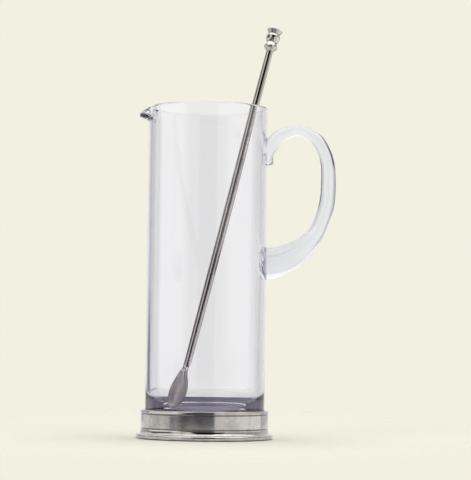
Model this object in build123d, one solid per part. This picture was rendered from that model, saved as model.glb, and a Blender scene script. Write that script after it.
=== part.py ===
from build123d import *
import os
from math import atan2, cos, degrees, pi, radians, sin, sqrt

# Cocktail pitcher: a blown glass cylinder with a hot-applied glass handle, set in a turned pewter
# base, with a pewter stirring spoon leaning in it. Millimetres. The origin is the middle of the
# table face of the foot, +Z is up, the pouring lip points to -X and the handle to +X.

# Glass vessel
glass_d = 90.0            # outside diameter of the cylinder
glass_wall = 2.8          # wall thickness of the cylinder
glass_height = 245.0      # underside of the glass to the top of the rim
glass_floor = 7.0         # thickness of the bottom in its middle
glass_heel = 1.2          # extra wall thickness just above the bottom
glass_heel_height = 45.0  # height above the floor over which the wall thickens
glass_inner_corner = 24.0  # radius between wall and floor inside
glass_outer_corner = 2.5  # radius round the underside
rim_round = 0.36          # fire-polished edge of the rim, as a share of the wall

# Pouring lip, pulled out of the rim
lip_reach = 7.0           # how far the tip stands out from the wall
lip_droop = 5.0           # how far the edge at the tip lies below the rim
lip_height = 11.5         # rim to where the wall starts to flare
lip_half_angle = 20.0     # half of the arc of the rim that is pulled out
lip_flare = 0.4           # part of the lip's height over which the wall flares, as a share
lip_inside_lift = 0.8     # how much higher the flare starts inside, as a share of the wall
lip_sections = 14         # level sections through the flared wall

# Glass handle, a loop in the XZ plane
handle_reach = 46.6       # wall to the middle of the grip
handle_crown_drop = 16.4  # rim to the middle of the loop's top
handle_height = 100.8     # middle of the loop's top to the middle of the lower joint
handle_tail_drop = 43.0   # rim to the end of the tail
handle_tail_proud = 4.8   # how far the tail stands out from the wall
handle_tail_depth = 7.0   # depths lie in the plane of the loop, widths across it
handle_tail_width = 8.0
handle_root_depth = 11.5
handle_root_width = 13.0
handle_crown_depth = 8.2
handle_crown_width = 12.0
handle_grip_depth = 11.0
handle_grip_width = 13.5
handle_bend_depth = 12.4
handle_bend_width = 15.0
handle_pad_depth = 26.0
handle_pad_width = 26.0
handle_sink = 7.0         # how far the pad runs into the wall before it is trimmed to it
handle_loop = {           # share of the reach, and share of the height below the crown
    "root": (0.040, 0.130),
    "crown": (0.465, 0.000),
    "shoulder": (0.840, 0.086),
    "grip": (1.000, 0.350),
    "bend": (0.832, 0.750),
    "above_pad": (0.485, 0.925),
}

# Pewter base
foot_height = 4.0         # table to the top of the foot ring
foot_flare = 3.6          # how far the foot's bead stands out beyond the collar
foot_belly = 0.52         # place of the bead's widest point, as a share of the foot's height
foot_tuck = 1.45          # how far the bead draws in towards the table
foot_step = 0.1           # how far the foot's top edge stands out beyond the cove
foot_rest_width = 6.4     # width of the flat ring that touches the table
plate_thickness = 2.4     # disc that closes the base
plate_overlap = 0.6       # how far the disc reaches under the collar
bed_thickness = 1.0       # bedding compound under the glass
bed_margin = 3.0          # bedding compound kept back from the edge of the glass
collar_height = 17.5      # top of the foot to the top of the collar
collar_wall = 2.9         # wall of the collar
collar_gap = 0.3          # clearance between glass and collar, and between disc and foot
collar_edge = 0.7         # radius on the collar's upper edges
collar_band = 2.4         # plain band above the upper groove
groove_width = 0.9        # turned grooves
groove_depth = 0.5
cove_height = 4.4         # hollow moulding between the lower groove and the foot
cove_flare = 1.5          # how far the cove opens outwards
cove_middle = (0.35, 0.45)  # middle of the cove's arc, as shares of its flare and height

# Stirring spoon
stirrer_length = 308.9    # tip of the bowl to the top of the finial
rod_end_d = 5.4           # the rod is thickest in its middle
rod_middle_d = 6.3
tang_d = 3.2              # pins at both ends of the rod
tang_length = 8.0
tang_gap = 0.05           # clearance round the pins
bowl_length = 38.0
bowl_width = 16.5
bowl_depth = 5.8
bowl_wall = 1.5
bowl_widest = 0.42        # place of the greatest width, as a share of the bowl's length from its tip
bowl_tip = 0.004          # place of the first section, as a share of the bowl's length
bowl_fullness = 0.7       # how fast the depth grows with the width: less is fuller
bowl_shoulder = 3.0       # solid metal between the hollow and the neck
bowl_sections = 9
bowl_neck = 8.0           # neck that holds the rod's lower pin
finial_cup_heights = (7.2, 7.1, 3.3)  # three stacked cups, the lowest first
finial_cup_bases = (2.7, 4.15, 4.6)   # radius of each cup at its foot
finial_cup_brims = (5.35, 5.45, 6.1)  # radius of each cup at its widest
finial_brims = (0.52, 0.70, 0.92)     # place of each brim, as a share of the cup's height
finial_swell = 0.3        # where each cup starts to swell, as a share of its height
finial_bulges = (1.0, 1.0, 0.3)       # how full each cup swells, as a share of its flare
finial_slope = 0.1        # how far each cup stays full above its brim, as a share of the rest
finial_undercut = 0.15    # how far each cup overhangs the one below
finial_shoulder = 0.93    # where the rounded top starts, as a share of the last brim
finial_crown = 0.5        # rise of the rounded top
finial_flat = 0.6         # how flat the rounded top is, as a share of its radius

# How the spoon leans
stirrer_azimuth = 36.6    # direction of the lean, from +X towards +Y
stirrer_twist = -77.6     # turn of the bowl about the rod
stirrer_tip_offset = 31.5  # tip to the axis of the glass, along the lean
stirrer_tip_side = 5.9    # tip to the axis of the glass, across the lean
stirrer_gap = 0.35        # clearance to the floor and to the rim

# Levels and radii that follow from the sizes above
bed_z = foot_height
glass_z = bed_z + bed_thickness
floor_z = glass_z + glass_floor
rim_z = glass_z + glass_height
glass_r = glass_d / 2
bore_r = glass_r - glass_wall
collar_bore_r = glass_r + collar_gap
collar_r = collar_bore_r + collar_wall
collar_z = foot_height + collar_height
plate_r = collar_bore_r + plate_overlap
cove_r = collar_r + cove_flare
bead_r = collar_r + foot_flare
shoulder_z = rim_z - lip_height - glass_wall
finial_z = stirrer_length - sum(finial_cup_heights) - finial_crown


def turned(outline):
    """A solid of revolution about Z from a closed outline of edges drawn as (radius, height)."""
    edges = [edge for stretch in outline for edge in stretch.edges()]
    return revolve(make_face(Plane.XZ * Wire(edges)), Axis.Z)


def make_glass_body():
    """Cylinder with a rounded rim, heavy bottom and a drooping lip pulled out of the rim."""
    outside = [
        Line((0, glass_z), (glass_r - glass_outer_corner, glass_z)),
        RadiusArc(
            (glass_r - glass_outer_corner, glass_z),
            (glass_r, glass_z + glass_outer_corner),
            -glass_outer_corner,
        ),
        Line((glass_r, glass_z + glass_outer_corner), (glass_r, shoulder_z)),
        Polyline((glass_r, shoulder_z), (0, shoulder_z), (0, glass_z)),
    ]
    heel_r = bore_r - glass_heel
    inside = Polyline(
        (0, floor_z),
        (heel_r, floor_z),
        (bore_r, floor_z + glass_heel_height),
        (bore_r, shoulder_z),
        (0, shoulder_z),
        close=True,
    )
    well = turned([inside])
    well = fillet(well.edges().sort_by(Axis.Z)[0], glass_inner_corner)
    lower = turned(outside) - well
    upper = flared_wall(glass_r, 0) - flared_wall(bore_r, glass_wall * lip_inside_lift) - lip_trim()
    body = lower + upper
    edge_z = rim_z - lip_droop - glass_wall / 2
    rim_edges = [edge for edge in body.edges() if edge.bounding_box().min.Z > edge_z]
    return fillet(rim_edges, glass_wall * rim_round)


def flared_wall(radius, lift):
    """The top of a cylinder, pulled out at -X: sections whose lip grows, raised by a lift."""
    start_z = rim_z - lip_height + lift
    top_z = rim_z + lip_height / 2
    sections = []
    for index in range(lip_sections):
        level = shoulder_z + (top_z - shoulder_z) * index / (lip_sections - 1)
        rise = min(max((level - start_z) / (lip_height * lip_flare), 0), 1)
        reach = lip_reach * (1 - cos(pi * rise)) / 2
        sections.append(lip_section(radius, level, reach))
    return loft(sections)


def lip_section(radius, level, reach):
    """A level section of the wall: a round, with a smooth bulge towards -X."""
    angle = radians(lip_half_angle)
    back = Vector(-radius * cos(angle), radius * sin(angle))
    front = Vector(back.X, -back.Y)
    rounded = ThreePointArc(back, (radius, 0), front)
    into = (-sin(angle), -cos(angle))
    out_of = (sin(angle), -cos(angle))
    tip = (-radius - reach, 0)
    if reach > 0:
        bulge = Spline(back, tip, front, tangents=[into, (0, -1), out_of])
    else:
        bulge = ThreePointArc(back, tip, front)
    return Pos(0, 0, level) * make_face(Wire([rounded, bulge]))


def lip_trim():
    """The space above the rim: level all round, but falling in an arc towards the tip of the lip."""
    start_x = -bore_r + glass_wall
    tip_x = -glass_r - lip_reach
    fall = TangentArc((start_x, rim_z), (tip_x, rim_z - lip_droop), tangent=(-1, 0))
    beyond = tip_x - 2 * lip_reach
    far_side = glass_d
    above = rim_z + lip_height
    end_slope = fall % 1
    end_z = rim_z - lip_droop + (tip_x - beyond) * end_slope.Y / -end_slope.X
    outline = Polyline(
        (tip_x, rim_z - lip_droop),
        (beyond, end_z),
        (beyond, above),
        (far_side, above),
        (far_side, rim_z),
        (start_x, rim_z),
    )
    side = make_face(Plane.XZ * Wire([fall] + list(outline.edges())))
    return extrude(side, amount=glass_d, both=True)


def make_glass_handle():
    """Oval sections along a drawn loop, from the tail at the upper joint to the lower pad."""
    crown_z = rim_z - handle_crown_drop
    shoulder_depth = (handle_crown_depth + handle_grip_depth) / 2
    shoulder_width = (handle_crown_width + handle_grip_width) / 2
    above_pad_depth = (handle_bend_depth + handle_pad_depth) / 2
    above_pad_width = (handle_bend_width + handle_pad_width) / 2
    sizes = {
        "root": (handle_root_depth, handle_root_width),
        "crown": (handle_crown_depth, handle_crown_width),
        "shoulder": (shoulder_depth, shoulder_width),
        "grip": (handle_grip_depth, handle_grip_width),
        "bend": (handle_bend_depth, handle_bend_width),
        "above_pad": (above_pad_depth, above_pad_width),
    }
    tail_x = glass_r + handle_tail_proud - handle_tail_depth / 2
    stations = [((tail_x, 0, rim_z - handle_tail_drop), handle_tail_depth, handle_tail_width)]
    for name, (out, down) in handle_loop.items():
        place = (glass_r + out * handle_reach, 0, crown_z - down * handle_height)
        stations.append((place, *sizes[name]))
    pad_place = (glass_r - handle_sink, 0, crown_z - handle_height)
    stations.append((pad_place, handle_pad_depth, handle_pad_width))
    path = Spline([place for place, _, _ in stations])
    sections = []
    for before, after in zip(stations, stations[1:]):
        start = path.param_at_point(before[0])
        half = (start + path.param_at_point(after[0])) / 2
        sections.append(handle_section(path, start, before[1], before[2]))
        sections.append(handle_section(path, half, (before[1] + after[1]) / 2, (before[2] + after[2]) / 2))
    sections.append(handle_section(path, 1, handle_pad_depth, handle_pad_width))
    standing = (Align.CENTER, Align.CENTER, Align.MIN)
    vessel = Pos(0, 0, glass_z) * Cylinder(glass_r, glass_height, align=standing)
    return loft(sections) - vessel


def handle_section(path, place, depth, width):
    """An oval square to the path: its width lies across the loop."""
    plane = Plane(origin=path @ place, x_dir=(0, 1, 0), z_dir=path % place)
    return plane * Ellipse(width / 2, depth / 2)


def make_base_collar():
    """Band round the glass with two turned grooves and a cove that opens down to the foot."""
    upper_groove = collar_z - collar_band
    lower_groove = foot_height + cove_height
    across, up = cove_middle
    outline = [
        Line((collar_bore_r, foot_height), (cove_r, foot_height)),
        ThreePointArc(
            (cove_r, foot_height),
            (collar_r + cove_flare * across, foot_height + cove_height * up),
            (collar_r, lower_groove),
        ),
        Line((collar_r, lower_groove), (collar_r, collar_z)),
        Line((collar_r, collar_z), (collar_bore_r, collar_z)),
        Line((collar_bore_r, collar_z), (collar_bore_r, foot_height)),
    ]
    collar = turned(outline)
    collar = fillet(collar.edges().group_by(Axis.Z)[-1], collar_edge)
    for level in (upper_groove, lower_groove):
        collar -= groove_ring(level)
    return collar


def groove_ring(level):
    """The round-bottomed cut of one turned groove below a level."""
    bottom = level - groove_width
    outside_r = collar_r + groove_depth
    outline = [
        ThreePointArc(
            (collar_r, level),
            (collar_r - groove_depth, level - groove_width / 2),
            (collar_r, bottom),
        ),
        Polyline((collar_r, bottom), (outside_r, bottom), (outside_r, level), (collar_r, level)),
    ]
    return turned(outline)


def make_foot_ring():
    """Beaded ring on the table, with a ledge inside for the disc and a flat top for the collar."""
    ledge_z = foot_height - plate_thickness
    recess_r = plate_r + collar_gap
    rest_r = bead_r - foot_tuck
    step_r = cove_r + foot_step
    outline = [
        Line((rest_r - foot_rest_width, 0), (rest_r, 0)),
        ThreePointArc((rest_r, 0), (bead_r, foot_height * foot_belly), (step_r, foot_height)),
        Line((step_r, foot_height), (recess_r, foot_height)),
        Line((recess_r, foot_height), (recess_r, ledge_z)),
        Line((recess_r, ledge_z), (rest_r - foot_rest_width, ledge_z)),
        Line((rest_r - foot_rest_width, ledge_z), (rest_r - foot_rest_width, 0)),
    ]
    return turned(outline)


def make_base_plate():
    """Disc that lies on the ledge of the foot ring and carries the glass."""
    standing = (Align.CENTER, Align.CENTER, Align.MAX)
    return Pos(0, 0, foot_height) * Cylinder(plate_r, plate_thickness, align=standing)


def make_glass_bed():
    """Layer of bedding compound between disc and glass."""
    standing = (Align.CENTER, Align.CENTER, Align.MIN)
    radius = glass_r - glass_outer_corner - bed_margin
    return Pos(0, 0, bed_z) * Cylinder(radius, bed_thickness, align=standing)


def make_stirrer_rod():
    """Rod along its own +Z with a swell in the middle and a pin at each end."""
    low = bowl_length + bowl_neck
    high = finial_z
    end_r = rod_end_d / 2
    swell_r = rod_middle_d - end_r
    pin_r = tang_d / 2
    outline = [
        Polyline((0, low - tang_length), (pin_r, low - tang_length), (pin_r, low), (end_r, low)),
        Bezier((end_r, low), (swell_r, (low + high) / 2), (end_r, high)),
        Polyline(
            (end_r, high),
            (pin_r, high),
            (pin_r, high + tang_length),
            (0, high + tang_length),
            (0, low - tang_length),
        ),
    ]
    return turned(outline)


def make_stirrer_finial():
    """Three stacked cups, each flaring upwards to a rounded brim, with a slightly domed top."""
    outline = [Line((0, finial_z), (finial_cup_bases[0], finial_z))]
    foot = finial_z
    last = len(finial_cup_heights) - 1
    for index, height in enumerate(finial_cup_heights):
        base = finial_cup_bases[index]
        brim = finial_cup_brims[index]
        brim_z = foot + height * finial_brims[index]
        swell = (base + (brim - base) * finial_bulges[index], foot + height * finial_swell)
        outline.append(Bezier((base, foot), swell, (brim, brim_z)))
        foot += height
        full_z = brim_z + (foot - brim_z) * finial_slope
        inner = brim * finial_shoulder if index == last else finial_cup_bases[index + 1] - finial_undercut
        outline.append(Bezier((brim, brim_z), (brim, full_z), (inner, foot)))
        if index < last:
            outline.append(Line((inner, foot), (finial_cup_bases[index + 1], foot)))
    top = foot + finial_crown
    outline.append(Bezier((inner, foot), (inner * finial_flat, top), (0, top)))
    outline.append(Line((0, top), (0, finial_z)))
    standing = (Align.CENTER, Align.CENTER, Align.MIN)
    pin = Cylinder(tang_d / 2 + tang_gap, tang_length + tang_gap, align=standing)
    return turned(outline) - Pos(0, 0, finial_z) * pin


def make_stirrer_bowl():
    """Leaf-shaped shallow bowl, hollow towards -Y, with a neck bored for the rod's pin."""
    neck_r = rod_end_d / 2
    shell = leaf(0, bowl_length, bowl_width, bowl_depth, rod_end_d)
    hollow_length = bowl_length - bowl_wall - bowl_shoulder
    hollow_width = bowl_width - 2 * bowl_wall
    hollow = leaf(bowl_wall, hollow_length, hollow_width, bowl_depth - bowl_wall, bowl_wall)
    standing = (Align.CENTER, Align.CENTER, Align.MIN)
    neck_foot = bowl_length - tang_length / 2
    neck = Pos(0, 0, neck_foot) * Cylinder(neck_r, bowl_neck + tang_length / 2, align=standing)
    pin_z = bowl_length + bowl_neck - tang_length - tang_gap
    pin = Pos(0, 0, pin_z) * Cylinder(tang_d / 2 + tang_gap, tang_length + tang_gap, align=standing)
    return shell + neck - hollow - pin


def leaf(start, length, width, depth, neck):
    """Half-oval sections along Z: an oval tip, widest low down, drawn in to a neck at the top."""
    face_y = -bowl_depth / 2
    sections = []
    for index in range(bowl_sections):
        ease = (1 - cos(pi * index / (bowl_sections - 1))) / 2
        along = bowl_tip + (1 - bowl_tip) * ease
        if along < bowl_widest:
            half = width / 2 * sqrt(1 - ((bowl_widest - along) / bowl_widest) ** 2)
        else:
            draw = (1 + cos(pi * (along - bowl_widest) / (1 - bowl_widest))) / 2
            half = neck / 2 + (width - neck) / 2 * draw
        deep = depth * (half * 2 / width) ** bowl_fullness
        plane = Plane(origin=(0, face_y, start + length * along), x_dir=(1, 0, 0), z_dir=(0, 0, 1))
        arc = EllipticalCenterArc((0, 0), half, deep, start_angle=0, arc_size=180)
        sections.append(plane * make_face(Wire([arc, Line((-half, 0), (half, 0))])))
    return loft(sections)


def stirrer_stance(bowl):
    """Where the spoon stands: its bowl just over the rounded floor, its rod just off the rim."""
    flat_r = bore_r - glass_heel - glass_inner_corner
    tip_r = sqrt(stirrer_tip_offset**2 + stirrer_tip_side**2) + bowl_depth / 2
    onto = min(max(tip_r - flat_r, 0), glass_inner_corner)
    ground_z = floor_z + glass_inner_corner - sqrt(glass_inner_corner**2 - onto**2)
    rim_r = bore_r - rod_middle_d / 2 - stirrer_gap
    run = stirrer_tip_offset + sqrt(rim_r**2 - stirrer_tip_side**2)
    rise = rim_z - glass_wall / 2 - ground_z - stirrer_gap
    lowest = 0
    for _ in range(2):  # the tilt decides which point of the bowl is lowest, so it is settled twice
        lean = Rot(0, degrees(atan2(run, rise + lowest)), 0) * Rot(0, 0, stirrer_twist)
        stance = Rot(0, 0, stirrer_azimuth) * Pos(-stirrer_tip_offset, -stirrer_tip_side, 0) * lean
        lowest = (stance * bowl).bounding_box().min.Z
    return Pos(0, 0, ground_z + stirrer_gap - lowest) * stance


bowl = make_stirrer_bowl()
stance = stirrer_stance(bowl)
pieces = {
    "glass_body": make_glass_body(),
    "glass_handle": make_glass_handle(),
    "base_collar": make_base_collar(),
    "foot_ring": make_foot_ring(),
    "base_plate": make_base_plate(),
    "glass_bed": make_glass_bed(),
    "stirrer_rod": stance * make_stirrer_rod(),
    "stirrer_finial": stance * make_stirrer_finial(),
    "stirrer_bowl": stance * bowl,
}

os.makedirs("parts", exist_ok=True)
for name, piece in pieces.items():
    export_step(piece, f"parts/{name}.step")
    box = piece.bounding_box()
    print(name, len(piece.solids()), round(piece.volume), box.min, box.max)
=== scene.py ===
import math

import bmesh
import bpy
from mathutils import Matrix, Vector


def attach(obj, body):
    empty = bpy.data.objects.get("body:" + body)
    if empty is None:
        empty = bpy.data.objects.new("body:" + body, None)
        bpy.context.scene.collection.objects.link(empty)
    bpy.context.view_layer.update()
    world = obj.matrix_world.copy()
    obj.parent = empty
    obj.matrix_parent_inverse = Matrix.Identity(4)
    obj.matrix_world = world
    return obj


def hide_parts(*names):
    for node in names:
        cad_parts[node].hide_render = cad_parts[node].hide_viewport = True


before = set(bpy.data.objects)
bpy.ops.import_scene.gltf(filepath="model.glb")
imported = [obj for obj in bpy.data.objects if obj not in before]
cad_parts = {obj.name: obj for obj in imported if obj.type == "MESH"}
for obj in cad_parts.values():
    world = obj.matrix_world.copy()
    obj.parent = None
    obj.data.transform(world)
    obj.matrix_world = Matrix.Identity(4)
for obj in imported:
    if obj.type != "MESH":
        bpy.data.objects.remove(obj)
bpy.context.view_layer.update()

mm = 0.001
cornerAngle = math.radians(40)  # edges that turn more than this stay crisp
mergeGap = 0.001  # millimetres; points nearer than this are one point
ringGap = 0.02  # millimetres; how far a corner's points may lie from where it is said to be
bandLength = 0.314  # one band of a wave texture at scale 1
print("frame loaded:", sorted(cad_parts))


def linear(hexCode):  # sRGB hex value to linear colour
    channels = [int(hexCode[start:start + 2], 16) / 255 for start in (1, 3, 5)]
    return [c / 12.92 if c <= 0.04045 else ((c + 0.055) / 1.055) ** 2.4 for c in channels] + [1.0]


def addNode(tree, kind, options=None, values=None, links=None):
    node = tree.nodes.new("ShaderNode" + kind)
    for name, option in (options or {}).items():
        setattr(node, name, option)
    for socket, value in (values or {}).items():
        node.inputs[socket].default_value = value
    for socket, source in (links or {}).items():
        tree.links.new(source, node.inputs[socket])
    return node


def newMaterial(name):
    material = bpy.data.materials.new(name)
    material.use_nodes = True
    material.node_tree.nodes.clear()
    return material, material.node_tree


def ease(share):  # 0 to 1, slow at both ends
    share = min(max(share, 0.0), 1.0)
    return (1 - math.cos(math.pi * share)) / 2


# Shape helpers: all sizes are written in millimetres and scaled once at the end

def turn(bm, outline, steps):  # spins an outline of radius and level round the Z axis
    verts = [bm.verts.new((radius, 0, level)) for radius, level in outline]
    edges = [bm.edges.new(pair) for pair in zip(verts, verts[1:])]
    bmesh.ops.spin(bm, geom=verts + edges, axis=(0, 0, 1), cent=(0, 0, 0), angle=math.tau,
                   steps=steps, use_merge=True)
    bmesh.ops.remove_doubles(bm, verts=bm.verts, dist=mergeGap)
    bmesh.ops.recalc_face_normals(bm, faces=bm.faces)


def roundRing(bm, radius, level, width, segments):  # rounds one turned corner
    ring = []
    for edge in bm.edges:
        if all(abs(v.co.xy.length - radius) < ringGap and abs(v.co.z - level) < ringGap for v in edge.verts):
            ring.append(edge)
    bmesh.ops.bevel(bm, geom=ring, offset=width, affect='EDGES', segments=segments, profile=0.5, material=-1)


def addRows(bm, levels):  # level cuts, so that a long wall can be shaped
    for level in levels:
        geom = bm.verts[:] + bm.edges[:] + bm.faces[:]
        bmesh.ops.bisect_plane(bm, geom=geom, plane_co=(0, 0, level), plane_no=(0, 0, 1), dist=mergeGap)


def growRing(bm, edges):  # extrudes an open end, and gives the new end's points and edges
    grown = bmesh.ops.extrude_edge_only(bm, edges=edges)["geom"]
    verts = [part for part in grown if isinstance(part, bmesh.types.BMVert)]
    fresh = set(verts)
    rim = [part for part in grown if isinstance(part, bmesh.types.BMEdge) and fresh.issuperset(part.verts)]
    return verts, rim


def curve(start, control, end, count):  # points on a quadratic curve, without its first one
    points = []
    for index in range(1, count + 1):
        t = index / count
        points.append(tuple(a * (1 - t) ** 2 + 2 * b * t * (1 - t) + c * t * t
                            for a, b, c in zip(start, control, end)))
    return points


def makePiece(bm, name, body, nodes, material):
    for edge in bm.edges:
        if edge.calc_face_angle(0.0) > cornerAngle:
            edge.smooth = False
    bmesh.ops.scale(bm, vec=(mm, mm, mm), verts=bm.verts)
    mesh = bpy.data.meshes.new(name)
    bm.to_mesh(mesh)
    bm.free()
    for face in mesh.polygons:
        face.use_smooth = True
    mesh.materials.append(material)
    piece = bpy.data.objects.new(name, mesh)
    bpy.context.scene.collection.objects.link(piece)
    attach(piece, body)
    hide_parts(*nodes)
    print("piece", name, len(mesh.polygons), "faces")


# Blown soda-lime glass: clear, faintly violet where it is thick, slightly wavy skin from blowing

def blownGlass(name, g):
    material, tree = newMaterial(name)
    place = addNode(tree, "TexCoord")
    waves = addNode(tree, "TexNoise",
                    values={"Scale": 1 / (g["waveSize"] * mm), "Detail": 1.0, "Roughness": 0.4},
                    links={"Vector": place.outputs["Object"]})
    skin = addNode(tree, "Bump", values={"Strength": 1.0, "Distance": g["waveHeight"] * mm},
                   links={"Height": waves.outputs["Fac"]})
    glass = addNode(tree, "BsdfPrincipled",
                    values={"Base Color": linear(g["colour"]), "Roughness": 0.0, "IOR": 1.5,
                            "Transmission Weight": 1.0},
                    links={"Normal": skin.outputs["Normal"]})
    tint = addNode(tree, "VolumeAbsorption", values={"Color": linear(g["tint"]), "Density": g["density"]})
    addNode(tree, "OutputMaterial",
            links={"Surface": glass.outputs["BSDF"], "Volume": tint.outputs["Volume"]})
    return material


vesselGlass = blownGlass("blownClearGlass", {
    "colour": "#FBFBFD", "tint": "#A06FD8", "density": 6.5, "waveSize": 26.0, "waveHeight": 0.02,
})
handleGlass = blownGlass("drawnClearGlass", {
    "colour": "#FBFBFD", "tint": "#8D92C1", "density": 9.0, "waveSize": 9.0, "waveHeight": 0.05,
})


# Pewter: tin alloy, lathe-turned and polished, greyed by handling; warm grey, soft-edged reflections

pewterWear = {  # pairs are the noise levels, or the openness of a hollow, that an effect runs between
    "tarnish": (0.3, 0.66), "dulling": (0.3, 0.7),
    "speck": (0.62, 0.72), "speckColour": "#2B2826",
    # painted shade: these darken the colour by how shut in a place is, partly standing for polish residue in
    # the grooves
    "residueAndShade": (0.45, 0.88), "residueAndShadeShare": 0.92, "residueAndShadeColour": "#221F1E",
    "boreEdge": 0.1, "boreColour": "#DAD8EA", "boreRoughness": 0.45, "neckRoughness": 0.07,
}


def pewter(name, p):
    w = pewterWear
    material, tree = newMaterial(name)
    place = addNode(tree, "TexCoord").outputs["Object"]
    clouds = addNode(tree, "TexNoise",
                     values={"Scale": 1 / (p["cloudSize"] * mm), "Detail": 6.0, "Roughness": 0.62},
                     links={"Vector": place}).outputs["Fac"]
    tarnish = addNode(tree, "ValToRGB", links={"Fac": clouds})
    for index, shade in enumerate((p["dark"], p["light"])):
        tarnish.color_ramp.elements[index].position = w["tarnish"][index]
        tarnish.color_ramp.elements[index].color = linear(shade)
    dulled = addNode(tree, "MapRange",
                     values={"From Min": w["dulling"][0], "From Max": w["dulling"][1],
                             "To Min": p["roughness"][0], "To Max": p["roughness"][1]},
                     links={"Value": clouds})
    # turning marks are really about 0.2 mm apart; drawn coarser, so that they show at this size
    marks = addNode(tree, "TexWave", options={"wave_type": 'BANDS', "bands_direction": 'Z'},
                    values={"Scale": bandLength / (p["turnPitch"] * mm), "Distortion": 1.5, "Detail": 2.0,
                            "Detail Scale": 0.6},
                    links={"Vector": place})
    turned = addNode(tree, "Bump", values={"Strength": 1.0, "Distance": p["turnHeight"] * mm},
                     links={"Height": marks.outputs["Fac"]})
    pits = addNode(tree, "TexNoise",
                   values={"Scale": 1 / (p["pitSize"] * mm), "Detail": 3.0, "Roughness": 0.7},
                   links={"Vector": place}).outputs["Fac"]
    pitted = addNode(tree, "Bump", values={"Strength": 1.0, "Distance": p["pitHeight"] * mm},
                     links={"Height": pits, "Normal": turned.outputs["Normal"]})
    # black residue that polishing leaves in the pits; then painted shade, partly standing for that residue in
    # the grooves: hollows, joints and the foot's contact with the table are darkened by how shut in they are
    specks = addNode(tree, "MapRange",
                     values={"From Min": w["speck"][0], "From Max": w["speck"][1], "To Max": p["specks"]},
                     links={"Value": pits})
    speckled = addNode(tree, "MixRGB", values={2: linear(w["speckColour"])},
                       links={0: specks.outputs["Result"], 1: tarnish.outputs["Color"]})
    # painted shade: ambient occlusion darkens the colour in hollows, joints and where the foot meets the
    # table
    shadeInHollows = addNode(tree, "AmbientOcclusion", options={"samples": 12}, values={"Distance": p["reach"] * mm})
    residueAndShade = addNode(tree, "MapRange",
                      values={"From Min": w["residueAndShade"][0], "From Max": w["residueAndShade"][1],
                              "To Min": w["residueAndShadeShare"], "To Max": 0.0},
                      links={"Value": shadeInHollows.outputs["AO"]})
    wornAndShaded = addNode(tree, "MixRGB", values={2: linear(w["residueAndShadeColour"])},
                   links={0: residueAndShade.outputs["Result"], 1: speckled.outputs["Color"]})
    colour = wornAndShaded.outputs["Color"]
    gloss = dulled.outputs["Result"]
    if "bore" in p:  # inside this radius it is left as it was cut: bright, but not polished
        level = addNode(tree, "VectorMath", options={"operation": 'MULTIPLY'}, values={1: (1, 1, 0)},
                        links={0: place})
        radius = addNode(tree, "VectorMath", options={"operation": 'LENGTH'},
                         links={0: level.outputs["Vector"]})
        outside = addNode(tree, "MapRange",
                          values={"From Min": (p["bore"] - w["boreEdge"]) * mm,
                                  "From Max": (p["bore"] + w["boreEdge"]) * mm},
                          links={"Value": radius.outputs["Value"]}).outputs["Result"]
        colour = addNode(tree, "MixRGB", values={1: linear(w["boreColour"])},
                         links={0: outside, 2: colour}).outputs["Color"]
        gloss = addNode(tree, "Mix", values={2: w["boreRoughness"]}, links={0: outside, 3: gloss}).outputs[0]
    if "neck" in p:  # between these levels the rod's polish fades out down the neck
        split = addNode(tree, "SeparateXYZ", links={0: place})
        polished = addNode(tree, "MapRange",
                           values={"From Min": p["neck"][0] * mm, "From Max": p["neck"][1] * mm},
                           links={"Value": split.outputs["Z"]}).outputs["Result"]
        gloss = addNode(tree, "Mix", values={3: w["neckRoughness"]}, links={0: polished, 2: gloss}).outputs[0]
    metal = addNode(tree, "BsdfPrincipled", values={"Metallic": 1.0},
                    links={"Base Color": colour, "Roughness": gloss, "Normal": pitted.outputs["Normal"]})
    addNode(tree, "OutputMaterial", links={"Surface": metal.outputs["BSDF"]})
    return material


# sizes, pitches and heights are in millimetres, and so is the reach of the painted shade in the hollows,
# which partly stands for residue
basePewter = pewter("turnedPewter", {
    "light": "#CCC9C5", "dark": "#B3AFAA", "cloudSize": 9.0, "roughness": (0.08, 0.14), "turnPitch": 0.9,
    "turnHeight": 0.002, "pitSize": 1.6, "pitHeight": 0.006, "specks": 0.5, "reach": 1.6, "bore": 46.0,
})
footPewter = pewter("turnedFootPewter", {
    "light": "#D0CDC9", "dark": "#AEAAA5", "cloudSize": 7.0, "roughness": (0.08, 0.15), "turnPitch": 1.1,
    "turnHeight": 0.002, "pitSize": 1.2, "pitHeight": 0.012, "specks": 0.6, "reach": 1.0,
})
rodPewter = pewter("polishedPewter", {
    "light": "#CBC7C3", "dark": "#BDB9B4", "cloudSize": 14.0, "roughness": (0.05, 0.09), "turnPitch": 2.5,
    "turnHeight": 0.001, "pitSize": 2.2, "pitHeight": 0.002, "specks": 0.1, "reach": 0.6,
})
finialPewter = pewter("polishedTurnedPewter", {
    "light": "#CFCCC8", "dark": "#C0BCB7", "cloudSize": 5.0, "roughness": (0.05, 0.09), "turnPitch": 0.8,
    "turnHeight": 0.001, "pitSize": 1.3, "pitHeight": 0.003, "specks": 0.1, "reach": 2.8,
})
bowlPewter = pewter("castPewter", {
    "light": "#DAD5D8", "dark": "#C4BEC4", "cloudSize": 5.0, "roughness": (0.46, 0.54), "turnPitch": 3.0,
    "turnHeight": 0.0015, "pitSize": 1.5, "pitHeight": 0.012, "specks": 0.1, "reach": 0.8,
    "neck": (46.0, 56.0),
})
platePewter = pewter("spunPewter", {
    "light": "#C2BDB6", "dark": "#A39D95", "cloudSize": 12.0, "roughness": (0.25, 0.4), "turnPitch": 1.2,
    "turnHeight": 0.004, "pitSize": 1.8, "pitHeight": 0.006, "specks": 0.3, "reach": 1.0,
})


# Bedding compound: epoxy filled with aluminium powder, pale grey with a dull metal sheen, faintly uneven

bedding = {"light": "#E8E7F2", "dark": "#D8D7E6", "cloudSize": 4.0, "roughness": 0.7}


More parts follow.
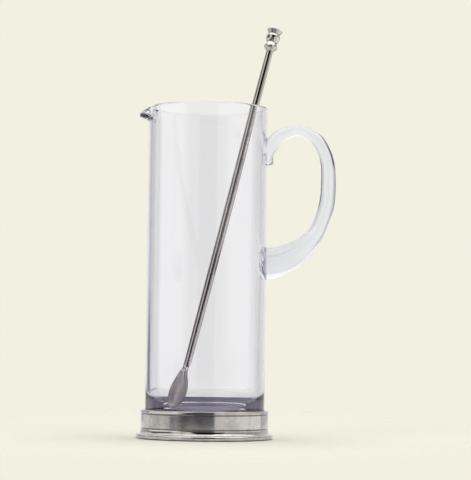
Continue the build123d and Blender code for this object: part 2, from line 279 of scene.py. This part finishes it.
def filledEpoxy(b):
    material, tree = newMaterial("filledEpoxy")
    place = addNode(tree, "TexCoord")
    haze = addNode(tree, "TexNoise", values={"Scale": 1 / (b["cloudSize"] * mm), "Detail": 3.0},
                   links={"Vector": place.outputs["Object"]})
    shade = addNode(tree, "ValToRGB", links={"Fac": haze.outputs["Fac"]})
    shade.color_ramp.elements[0].color = linear(b["dark"])
    shade.color_ramp.elements[1].color = linear(b["light"])
    epoxy = addNode(tree, "BsdfPrincipled", values={"Roughness": b["roughness"], "Metallic": 1.0},
                    links={"Base Color": shade.outputs["Color"]})
    addNode(tree, "OutputMaterial", links={"Surface": epoxy.outputs["BSDF"]})
    return material


bedEpoxy = filledEpoxy(bedding)
print("materials made")

# Glass vessel: turned, then its lower wall is thickened inwards and the lip is pulled out of the rim

vessel = {
    "steps": 288, "radius": 45.0, "wall": 2.8, "floor": 12.0, "rim": 250.0,
    "underside": 4.9,  # a little into the bed, as it is bonded to it
    "innerCorner": 24.0, "outerCorner": 2.5, "rimRound": 1.1,
    "heel": 1.2, "heelTop": 57.0, "heelRadius": 22.0, "heelCurve": 1.6, "heelRows": 5, "heelRowStep": 4.0,
    "lipReach": 7.0, "lipDroop": 5.0, "lipHeight": 11.5, "lipFlare": 0.4, "lipLift": 2.24,
    "lipHalfAngle": 20.0, "lipRows": 25, "lipRowStep": 0.5, "lipRounds": 4,
}


def makeVessel(v):
    bm = bmesh.new()
    bore = v["radius"] - v["wall"]
    turn(bm, [(0, v["underside"]), (v["radius"], v["underside"]), (v["radius"], v["rim"]),
              (bore, v["rim"]), (bore, v["floor"]), (0, v["floor"])], v["steps"])
    roundRing(bm, v["radius"], v["underside"], v["outerCorner"], segments=6)
    roundRing(bm, bore, v["floor"], v["innerCorner"], segments=30)
    roundRing(bm, v["radius"], v["rim"], v["rimRound"], segments=5)
    roundRing(bm, bore, v["rim"], v["rimRound"], segments=5)
    heelStart = v["floor"] + v["innerCorner"]
    addRows(bm, [heelStart + v["heelRowStep"] * row for row in range(1, v["heelRows"] + 1)])
    shoulder = v["rim"] - v["lipHeight"] - v["wall"]
    addRows(bm, [shoulder + v["lipRowStep"] * row for row in range(v["lipRows"])])
    fallStart = bore - v["wall"]
    fallRun = v["radius"] + v["lipReach"] - fallStart
    fallRadius = (fallRun ** 2 + v["lipDroop"] ** 2) / (2 * v["lipDroop"])
    for vert in bm.verts:
        radius = vert.co.xy.length
        level = vert.co.z
        inside = radius < bore + v["wall"] / 2
        if inside and v["floor"] <= level < v["heelTop"]:
            rise = (v["heelTop"] - level) / (v["heelTop"] - v["floor"])
            spread = ease((radius - v["heelRadius"]) / (bore - v["heelRadius"]))
            radius -= v["heel"] * rise ** v["heelCurve"] * spread
            vert.co.xy = vert.co.xy.normalized() * radius if vert.co.xy.length > 0 else vert.co.xy
        if level > shoulder:
            angle = math.degrees(math.atan2(vert.co.y, -vert.co.x))
            pull = ease(1 - abs(angle) / v["lipHalfAngle"])
            depth = (v["radius"] - radius) / v["wall"]  # 0 on the outer skin, 1 on the inner one
            start = v["rim"] - v["lipHeight"] + v["lipLift"] * depth
            newLevel = level
            for _ in range(v["lipRounds"]):  # reach and droop depend on each other
                reach = v["lipReach"] * pull * ease((newLevel - start) / (v["lipHeight"] * v["lipFlare"]))
                run = -(vert.co.x / radius) * (radius + reach) - fallStart
                fall = fallRadius - math.sqrt(fallRadius ** 2 - run * run) if run > 0 else 0
                newLevel = shoulder + (level - shoulder) * (1 - fall / (v["rim"] - shoulder))
            vert.co.xy = vert.co.xy * (radius + reach) / radius
            vert.co.z = newLevel
    makePiece(bm, "glassVessel", "pitcher", ["glass_body"], vesselGlass)


makeVessel(vessel)

# Glass handle: one drawn gather; its ends run a little into the wall, as they are fused to it

handle = {
    "segments": 44, "rings": 110, "headingStep": 0.004, "fuse": 0.1, "wallRadius": 45.0,
    "endRings": 7, "endLength": 2.6, "endStart": 0.25, "padRings": 6,
    "path": [  # x, z, depth in the loop's plane, width across it
        (46.30, 207.00, 7.0, 8.0), (45.11, 213.81, 9.25, 10.5), (46.86, 220.50, 11.5, 13.0),
        (55.02, 229.71, 9.85, 12.5), (66.67, 233.60, 8.2, 12.0), (76.34, 231.18, 8.9, 12.4),
        (84.14, 224.93, 9.6, 12.75), (90.07, 212.30, 10.3, 13.1), (91.60, 198.32, 11.0, 13.5),
        (90.42, 177.59, 11.7, 14.25), (83.77, 158.00, 12.4, 15.0), (76.69, 148.26, 15.8, 17.75),
        (67.60, 140.36, 19.2, 20.5), (53.49, 133.88, 22.6, 23.25), (43.30, 132.50, 24.8, 25.1),
    ],
}


def alongPath(points, share):  # smooth curve through all the points
    place = share * (len(points) - 1)
    index = min(int(place), len(points) - 2)
    t = place - index
    before = points[max(index - 1, 0)]
    after = points[min(index + 2, len(points) - 1)]
    values = []
    for a, b, c, d in zip(before, points[index], points[index + 1], after):
        values.append(b + 0.5 * t * (c - a + t * (2 * a - 5 * b + 4 * c - d + t * (3 * (b - c) + d - a))))
    return values


def handleRing(h, share, shrink=1.0, back=0.0):  # where a unit circle goes at a share of the path
    x, z, depth, width = alongPath(h["path"], share)
    ahead = alongPath(h["path"], min(share + h["headingStep"], 1.0))
    behind = alongPath(h["path"], max(share - h["headingStep"], 0.0))
    heading = Vector((ahead[0] - behind[0], 0, ahead[1] - behind[1])).normalized()
    across = Vector((0, 1, 0))
    inward = heading.cross(across)
    turned = Matrix((across, inward, heading)).transposed().to_4x4()
    centre = Vector((x, 0, z)) - heading * back
    size = Matrix.Diagonal((width / 2 * shrink, depth / 2 * shrink, 1, 1))
    return Matrix.Translation(centre) @ turned @ size


def makeHandle(h):
    bm = bmesh.new()
    places = []
    for ring in range(h["endRings"]):  # the rounded end of the tail
        lean = math.pi / 2 * (ring + h["endStart"]) / h["endRings"]
        places.append(handleRing(h, 0, math.sin(lean), h["endLength"] * (math.cos(lean) - 1)))
    for ring in range(h["rings"] + 1):
        places.append(handleRing(h, ring / h["rings"]))
    padStart = len(places) - 1
    for ring in range(1, h["padRings"]):
        places.append(handleRing(h, 1, 1 - ring / h["padRings"]))
    bmesh.ops.create_circle(bm, cap_ends=True, segments=h["segments"], radius=1, matrix=places[0])
    edges = bm.edges[:]
    pad = []
    for index in range(1, len(places)):
        verts, edges = growRing(bm, edges)
        bmesh.ops.transform(bm, matrix=places[index] @ places[index - 1].inverted(), verts=verts)
        if index >= padStart:
            pad += verts
    bmesh.ops.contextual_create(bm, geom=edges)
    wall = h["wallRadius"] - h["fuse"]
    for vert in bm.verts:
        vert.co.x = max(vert.co.x, math.sqrt(wall ** 2 - vert.co.y ** 2))
    for vert in pad:  # the pad's end follows the wall, just inside it
        vert.co.x = math.sqrt(wall ** 2 - vert.co.y ** 2)
    bmesh.ops.recalc_face_normals(bm, faces=bm.faces)
    makePiece(bm, "glassHandle", "pitcher", ["glass_handle"], handleGlass)


makeHandle(handle)

# Pewter base: collar with two turned grooves and a cove, on a beaded foot

collar = {
    "steps": 256, "bore": 45.3, "radius": 48.2, "bottom": 4.0, "top": 21.5, "edge": 0.7, "band": 2.4,
    "grooveWidth": 0.9, "grooveDepth": 0.5, "grooveSteps": 8, "grooveGap": 0.05,
    "coveHeight": 4.4, "coveFlare": 1.5, "coveLift": 0.9, "coveSteps": 10, "wallStart": 1.0, "wallRows": 9,
}


def groove(c, level):  # outline of one turned groove, from its lower lip up
    half = c["grooveWidth"] / 2
    middle = level - half
    points = []
    for step in range(c["grooveSteps"] + 1):
        lean = math.pi * step / c["grooveSteps"]
        points.append((c["radius"] - c["grooveDepth"] * math.sin(lean), middle - half * math.cos(lean)))
    return points


def makeCollar(c):
    bm = bmesh.new()
    lowGroove = c["bottom"] + c["coveHeight"]
    coveFoot = (c["radius"] + c["coveFlare"], c["bottom"])
    coveBend = (c["radius"], c["bottom"] + c["coveLift"])
    coveTop = (c["radius"], lowGroove - c["grooveWidth"] - c["grooveGap"])
    outline = [(c["bore"], c["top"]), (c["bore"], c["bottom"]), coveFoot]
    outline += curve(coveFoot, coveBend, coveTop, c["coveSteps"])
    outline += groove(c, lowGroove)
    outline += groove(c, c["top"] - c["band"])
    outline += [(c["radius"], c["top"]), (c["bore"], c["top"])]
    turn(bm, outline, c["steps"])
    roundRing(bm, c["radius"], c["top"], c["edge"], segments=5)
    roundRing(bm, c["bore"], c["top"], c["edge"], segments=4)
    addRows(bm, [lowGroove + c["wallStart"] + row for row in range(c["wallRows"])])
    makePiece(bm, "pewterCollar", "pitcher", ["base_collar"], basePewter)


foot = {
    "steps": 256, "bore": 43.95, "rest": 50.35, "bead": 51.8, "step": 49.8, "height": 4.0, "belly": 0.52,
    "beadLow": 0.15, "beadHigh": 0.2, "lowSteps": 8, "highSteps": 10, "recess": 46.2, "ledge": 1.6,
}


def makeFoot(f):
    bm = bmesh.new()
    belly = (f["bead"], f["height"] * f["belly"])
    highBend = (f["bead"], f["height"] - f["beadHigh"])
    outline = [(f["bore"], f["ledge"]), (f["bore"], 0), (f["rest"], 0)]
    outline += curve((f["rest"], 0), (f["bead"], f["beadLow"]), belly, f["lowSteps"])
    outline += curve(belly, highBend, (f["step"], f["height"]), f["highSteps"])
    outline += [(f["recess"], f["height"]), (f["recess"], f["ledge"]), (f["bore"], f["ledge"])]
    turn(bm, outline, f["steps"])
    makePiece(bm, "pewterFoot", "pitcher", ["foot_ring"], footPewter)


makeCollar(collar)
makeFoot(foot)
for nodeName, material in (("base_plate", platePewter), ("glass_bed", bedEpoxy)):
    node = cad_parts[nodeName]
    node.data.materials.clear()
    node.data.materials.append(material)

# Stirring spoon: made upright along +Z from its tip, then leaned into the glass

stance = {"tip": (-21.771, -23.518, 19.863), "azimuth": 36.6, "lean": 16.957, "twist": -77.6}
stanceMatrix = (Matrix.Translation(stance["tip"])
                @ Matrix.Rotation(math.radians(stance["azimuth"]), 4, 'Z')
                @ Matrix.Rotation(math.radians(stance["lean"]), 4, 'Y')
                @ Matrix.Rotation(math.radians(stance["twist"]), 4, 'Z'))

rod = {"steps": 64, "rows": 40, "low": 46.0, "high": 290.8, "endRadius": 2.7, "middleRadius": 3.15}


def makeRod(r):
    bm = bmesh.new()
    low = (r["endRadius"], r["low"])
    swell = (2 * r["middleRadius"] - r["endRadius"], (r["low"] + r["high"]) / 2)
    high = (r["endRadius"], r["high"])
    turn(bm, [(0, r["low"]), low] + curve(low, swell, high, r["rows"]) + [(0, r["high"])], r["steps"])
    bmesh.ops.transform(bm, matrix=stanceMatrix, verts=bm.verts)
    makePiece(bm, "spoonRod", "stirrer", ["stirrer_rod"], rodPewter)


finial = {  # three cups, from the rod up
    "steps": 96, "cupSteps": 12, "crownSteps": 8, "foot": 290.8,
    "heights": (7.2, 7.1, 3.3), "bases": (2.7, 4.15, 4.6), "brims": (5.35, 5.45, 6.1),
    "brimShares": (0.52, 0.70, 0.92), "bulges": (1.0, 1.0, 0.3),
    "swell": 0.3, "slope": 0.1, "undercut": 0.15, "shoulder": 0.93, "crown": 0.5, "flat": 0.6,
}


def makeFinial(f):
    bm = bmesh.new()
    level = f["foot"]
    outline = [(0, level)]
    inners = [base - f["undercut"] for base in f["bases"][1:]] + [f["brims"][-1] * f["shoulder"]]
    cups = zip(f["heights"], f["bases"], f["brims"], f["brimShares"], f["bulges"], inners)
    for height, base, brim, brimShare, bulge, inner in cups:
        outline.append((base, level))
        brimLevel = level + height * brimShare
        swell = (base + (brim - base) * bulge, level + height * f["swell"])
        outline += curve((base, level), swell, (brim, brimLevel), f["cupSteps"])
        level += height
        slopeLevel = brimLevel + (level - brimLevel) * f["slope"]
        outline += curve((brim, brimLevel), (brim, slopeLevel), (inner, level), f["cupSteps"])
    crownLevel = level + f["crown"]
    outline += curve((inner, level), (inner * f["flat"], crownLevel), (0, crownLevel), f["crownSteps"])
    turn(bm, outline, f["steps"])
    bmesh.ops.transform(bm, matrix=stanceMatrix, verts=bm.verts)
    makePiece(bm, "spoonFinial", "stirrer", ["stirrer_finial"], finialPewter)


bowl = {
    "rings": 72, "arc": 24, "length": 38.0, "width": 16.5, "depth": 5.8, "wall": 1.5, "widest": 0.42,
    "fullness": 0.7, "shoulder": 3.0, "neck": 8.0, "neckRadius": 2.7, "blendLow": 28.5, "blendHigh": 41.0,
    "tip": 0.004, "tipShare": 0.3, "tipCurve": 0.9, "tipLevel": 0.02,
    "rimRise": 0.35, "rimSharpness": 12, "rimWidth": 0.5, "rimFade": 3.0, "flatShare": 0.5,
}


def leafSection(b, along, width, depth, neck):  # half width and depth of the leaf at a share of its length
    along = min(max(along, b["tip"]), 1)
    if along < b["widest"]:
        half = width / 2 * math.sqrt(1 - ((b["widest"] - along) / b["widest"]) ** 2)
    else:
        half = neck / 2 + (width - neck) / 2 * (1 - ease((along - b["widest"]) / (1 - b["widest"])))
    return half, depth * (half * 2 / width) ** b["fullness"]


def shapeBowlRing(b, verts, level):
    face = -b["depth"] / 2
    half, deep = leafSection(b, level / b["length"], b["width"], b["depth"], b["neckRadius"] * 2)
    hollowLength = b["length"] - b["wall"] - b["shoulder"]
    hollowAlong = (level - b["wall"]) / hollowLength
    innerHalf, innerDeep = half * b["flatShare"], 0.0  # flat beyond the ends of the hollow
    if 0 < hollowAlong < 1:
        innerWidth = b["width"] - 2 * b["wall"]
        innerHalf, innerDeep = leafSection(b, hollowAlong, innerWidth, b["depth"] - b["wall"], b["wall"])
    toNeck = ease((level - b["blendLow"]) / (b["blendHigh"] - b["blendLow"]))
    count = len(verts)
    for index, vert in enumerate(verts):
        turnShare = index / count
        if turnShare < 0.5:  # the back
            lean = math.tau * turnShare
            x, y = half * math.cos(lean), face + deep * math.sin(lean)
        else:  # the hollow, from one rim to the other
            lean = math.tau * (1 - turnShare)
            x, y = innerHalf * math.cos(lean), face + innerDeep * math.sin(lean)
            rimShare = abs(math.cos(lean)) ** b["rimSharpness"]
            x += math.copysign((half - innerHalf) * rimShare * b["rimWidth"], x)
            y -= b["rimRise"] * rimShare * min(1, half / b["rimFade"])
        roundLean = math.tau * turnShare
        roundX, roundY = b["neckRadius"] * math.cos(roundLean), b["neckRadius"] * math.sin(roundLean)
        vert.co = (x + (roundX - x) * toNeck, y + (roundY - y) * toNeck, level)


def bowlLevel(b, share):  # rings lie close together at the tip, and evenly above it
    top = b["length"] + b["neck"]
    level = top * (1 - math.cos(math.pi / 2 * min(share, b["tipShare"]) ** b["tipCurve"]))
    if share < b["tipShare"]:
        return max(level, b["tipLevel"])
    return level + (top - level) * (share - b["tipShare"]) / (1 - b["tipShare"])


def makeBowl(b):
    bm = bmesh.new()
    verts = bmesh.ops.create_circle(bm, cap_ends=True, segments=2 * b["arc"], radius=1)["verts"]
    edges = bm.edges[:]
    shapeBowlRing(b, verts, bowlLevel(b, 0))
    for ring in range(1, b["rings"] + 1):
        grown, edges = growRing(bm, edges)
        fresh = set(grown)
        neighbours = [[edge.other_vert(v) for edge in v.link_edges] for v in verts]
        verts = [next(v for v in group if v in fresh) for group in neighbours]  # in the old ring's order
        shapeBowlRing(b, verts, bowlLevel(b, ring / b["rings"]))
    bmesh.ops.contextual_create(bm, geom=edges)
    bmesh.ops.recalc_face_normals(bm, faces=bm.faces)
    bmesh.ops.transform(bm, matrix=stanceMatrix, verts=bm.verts)
    makePiece(bm, "spoonBowl", "stirrer", ["stirrer_bowl"], bowlPewter)


makeRod(rod)
makeFinial(finial)
makeBowl(bowl)

# Stage: a small pale table with a soft edge, in a studio with soft cards round it

stageLook = {  # lengths in metres; pairs are where a change of colour starts and ends
    # painted shade: the paper the camera sees is darker behind the object, to even out the extra light that
    # falls there
    "seen": "#F2F0E1", "seenShadedBehind": "#ECEADB", "shadedBehindSpan": (0.02, 0.2),  # what the camera sees
    "paper": "#F7F7F5",  # what lights the object
    "through": "#E4E5E0", "dusk": "#8A8698",  # what the glass shows: pale, darker at the rear left
    "duskLeft": (-0.1, -0.13), "duskBehind": (0.03, 0.05),
    "radius": 0.56, "behind": 0.2, "fadeStart": 0.3, "fadeEnd": 0.54, "squeeze": 1.9, "steps": 96,
}


def makeTable(s):
    bm = bmesh.new()
    bmesh.ops.create_circle(bm, cap_ends=True, segments=s["steps"], radius=s["radius"])
    bmesh.ops.translate(bm, vec=(0, s["behind"], 0), verts=bm.verts)
    mesh = bpy.data.meshes.new("table")
    bm.to_mesh(mesh)
    bm.free()
    table = bpy.data.objects.new("table", mesh)
    bpy.context.scene.collection.objects.link(table)
    material, tree = newMaterial("paperSweep")  # matt paper: no gloss, keeps the soft contact shadow
    place = addNode(tree, "TexCoord").outputs["Object"]
    split = addNode(tree, "SeparateXYZ", links={0: place})
    ray = addNode(tree, "LightPath")
    narrow = addNode(tree, "VectorMath", options={"operation": 'MULTIPLY'}, values={1: (s["squeeze"], 1, 1)},
                     links={0: place})
    distance = addNode(tree, "VectorMath", options={"operation": 'DISTANCE'}, values={1: (0, s["behind"], 0)},
                       links={0: narrow.outputs["Vector"]})
    away = addNode(tree, "MapRange", options={"interpolation_type": 'SMOOTHSTEP'},
                   values={"From Min": s["fadeStart"], "From Max": s["fadeEnd"]},
                   links={"Value": distance.outputs["Value"]})
    spans = {}
    for name, axis in (("duskLeft", "X"), ("duskBehind", "Y"), ("shadedBehindSpan", "Y")):
        spans[name] = addNode(tree, "MapRange", values={"From Min": s[name][0], "From Max": s[name][1]},
                              links={"Value": split.outputs[axis]}).outputs["Result"]
    dusk = addNode(tree, "Math", options={"operation": 'MULTIPLY'},
                   links={0: spans["duskLeft"], 1: spans["duskBehind"]})
    through = addNode(tree, "MixRGB", values={1: linear(s["through"]), 2: linear(s["dusk"])},
                      links={0: dusk.outputs["Value"]})
    sheet = addNode(tree, "MixRGB", values={1: linear(s["paper"])},
                    links={0: ray.outputs["Is Transmission Ray"], 2: through.outputs["Color"]})
    # painted shade: darker towards the back, evening out the extra light that falls behind the object
    floor = addNode(tree, "MixRGB", values={1: linear(s["seen"]), 2: linear(s["seenShadedBehind"])},
                    links={0: spans["shadedBehindSpan"]})
    colour = addNode(tree, "MixRGB", links={0: ray.outputs["Is Camera Ray"], 1: sheet.outputs["Color"],
                                            2: floor.outputs["Color"]})
    paper = addNode(tree, "BsdfDiffuse", links={"Color": colour.outputs["Color"]})
    clear = addNode(tree, "BsdfTransparent")
    shown = addNode(tree, "MixShader", links={0: away.outputs["Result"], 1: paper.outputs["BSDF"],
                                              2: clear.outputs["BSDF"]})
    addNode(tree, "OutputMaterial", links={"Surface": shown.outputs["Shader"]})
    mesh.materials.append(material)


makeTable(stageLook)


# one soft card: all angles in degrees, azimuth from straight behind the object or from the camera's side;
# edge is how soft its left, right, lower and upper edges are, or one number for all four
def softCard(side, azimuth, elevation, edge, colour, strength=1.0, glassOnly=False):
    edges = edge if isinstance(edge, tuple) else (edge,) * 4
    return {"side": side, "bounds": azimuth + elevation, "edges": edges,
            "colour": [c * strength for c in linear(colour)], "glassOnly": glassOnly}


studio = {
    "room": "#55515F",
    "cards": [  # a later card covers an earlier one; a glassOnly one shows through glass and nowhere else
        softCard("back", (-58, 0), (-95, 60), 6, "#C4C3CA"),  # wall behind: grey on the left,
        softCard("back", (0, 58), (-95, 60), 6, "#DEDDE0"),  # paler on the right,
        softCard("back", (-24, 24), (-95, 60), 6, "#F6F7F2"),  # white in the middle
        softCard("back", (-80, -38), (-95, -0.8), (4, 6, 2, 1), "#FFFFFF", 0.95),  # floor, rear left
        softCard("back", (-70, -25), (-95, 0.5), (4, 5, 2, 1.5), "#565268", glassOnly=True),  # dusk over it
        softCard("camera", (-118, -62), (-95, 0), 2.5, "#DCDBDA"),  # left side: pale floor,
        softCard("camera", (-118, -62), (10, 60), 2.5, "#737275"),  # grey wall
        softCard("camera", (18, 122), (-95, 10), 2.5, "#EFEDEB"),  # right side: pale floor,
        softCard("camera", (22, 122), (10, 40), 2.5, "#B9B7B5"),  # light grey wall
        softCard("camera", (-62, 18), (-95, 10), (5, 2.5, 4, 2), "#A3A2A1"),  # front: grey floor,
        softCard("camera", (-62, 18), (-12, 10), (5, 2.5, 4, 2), "#66666C"),  # dark band low down,
        softCard("camera", (-59, -30), (-12, -1), (4, 8, 3, 1), "#505056"),  # darker still at its left end
        softCard("camera", (66, 122), (-95, -0.8), (16, 4, 2, 1), "#FFFFFF", 1.15),  # bright floor, right
        softCard("camera", (-125, 125), (-95, -5), 2, "#F2F0E6", glassOnly=True),  # table in front
        softCard("camera", (-118, -42), (-0.8, 10), (4, 12, 0.8, 2), "#FFFFFF", 1.15),  # strip light, left
        softCard("back", (-71, -41), (-8, 16), 3, "#34323E", glassOnly=True),  # dark cards beside the glass,
        softCard("back", (41, 64), (-8, 16), 3, "#34323E", glassOnly=True),  # which line its two walls
        softCard("camera", (-62, -20), (10, 62), (6, 3, 2, 4), "#F4F1EA"),  # soft boxes: front left,
        softCard("back", (-120, 24), (36, 62), 4, "#FFFFFF", 1.2),  # high at the rear,
        softCard("back", (-62, -24), (17, 40), 3, "#FFFFFF"),  # rear left,
        softCard("camera", (24, 150), (40, 62), 4, "#FFFFFF", 1.6),  # high on the right,
        softCard("camera", (-200, 200), (60, 95), 4, "#FFFFFF", 1.77),  # overhead
        softCard("camera", (-22, 37), (11, 38), (3, 3, 2, 4), "#030304"),  # black card, for the rod's stripe
    ],
}


def cardMask(tree, azimuth, elevation, bounds, edges):  # 1 on the card, 0 off it
    mask = None
    angles = (azimuth, azimuth, elevation, elevation)
    signs = (1, -1, 1, -1)  # from a lower bound on, up to a higher one
    for angle, sign, bound, edge in zip(angles, signs, bounds, edges):
        middle = math.radians(bound)
        soft = sign * math.radians(edge)
        side = addNode(tree, "MapRange", options={"interpolation_type": 'SMOOTHSTEP'},
                       values={"From Min": middle - soft, "From Max": middle + soft},
                       links={"Value": angle}).outputs["Result"]
        if mask is None:
            mask = side
        else:
            mask = addNode(tree, "Math", options={"operation": 'MULTIPLY'},
                           links={0: mask, 1: side}).outputs["Value"]
    return mask


def makeStudio(s):
    world = bpy.data.worlds.new("studio")
    bpy.context.scene.world = world
    world.use_nodes = True
    tree = world.node_tree
    tree.nodes.clear()
    place = addNode(tree, "TexCoord")
    split = addNode(tree, "SeparateXYZ", links={0: place.outputs["Generated"]})
    ray = addNode(tree, "LightPath")
    back = split.outputs["Y"]
    front = addNode(tree, "Math", options={"operation": 'MULTIPLY'}, values={1: -1.0},
                    links={0: back}).outputs["Value"]
    azimuths = {}
    for name, ahead in (("back", back), ("camera", front)):
        azimuths[name] = addNode(tree, "Math", options={"operation": 'ARCTAN2'},
                                 links={0: split.outputs["X"], 1: ahead}).outputs["Value"]
    elevation = addNode(tree, "Math", options={"operation": 'ARCSINE'},
                        links={0: split.outputs["Z"]}).outputs["Value"]
    light = addNode(tree, "RGB").outputs[0]
    light.default_value = linear(s["room"])
    for card in s["cards"]:
        mask = cardMask(tree, azimuths[card["side"]], elevation, card["bounds"], card["edges"])
        if card["glassOnly"]:
            mask = addNode(tree, "Math", options={"operation": 'MULTIPLY'},
                           links={0: mask, 1: ray.outputs["Is Transmission Ray"]}).outputs["Value"]
        light = addNode(tree, "MixRGB", values={2: card["colour"]},
                        links={0: mask, 1: light}).outputs["Color"]
    room = addNode(tree, "Background", links={"Color": light})
    backdrop = addNode(tree, "Background", values={"Color": linear(stageLook["seen"]), "Strength": 1.0})
    seen = addNode(tree, "MixShader", links={0: ray.outputs["Is Camera Ray"], 1: room.outputs["Background"],
                                             2: backdrop.outputs["Background"]})
    addNode(tree, "OutputWorld", links={"Surface": seen.outputs["Shader"]})


makeStudio(studio)

# Camera: just above the foot, looking slightly up

view = {
    "place": (0.0217, -1.490, 0.069), "pitch": 3.11, "roll": 0.7,
    "lens": 147.84, "sensor": 36.0, "farEnd": 20.0,
}


def makeCamera(c):
    camera = bpy.data.objects.new("camera", bpy.data.cameras.new("camera"))
    bpy.context.scene.collection.objects.link(camera)
    camera.data.sensor_fit = 'VERTICAL'
    camera.data.sensor_height = c["sensor"]
    camera.data.lens = c["lens"]
    camera.data.clip_end = c["farEnd"]
    aim = (Matrix.Rotation(math.radians(90 + c["pitch"]), 4, 'X')
           @ Matrix.Rotation(math.radians(c["roll"]), 4, 'Z'))
    camera.matrix_world = Matrix.Translation(c["place"]) @ aim
    bpy.context.scene.camera = camera


makeCamera(view)
bpy.context.scene.view_settings.view_transform = 'Standard'
print("stage, studio and camera made")
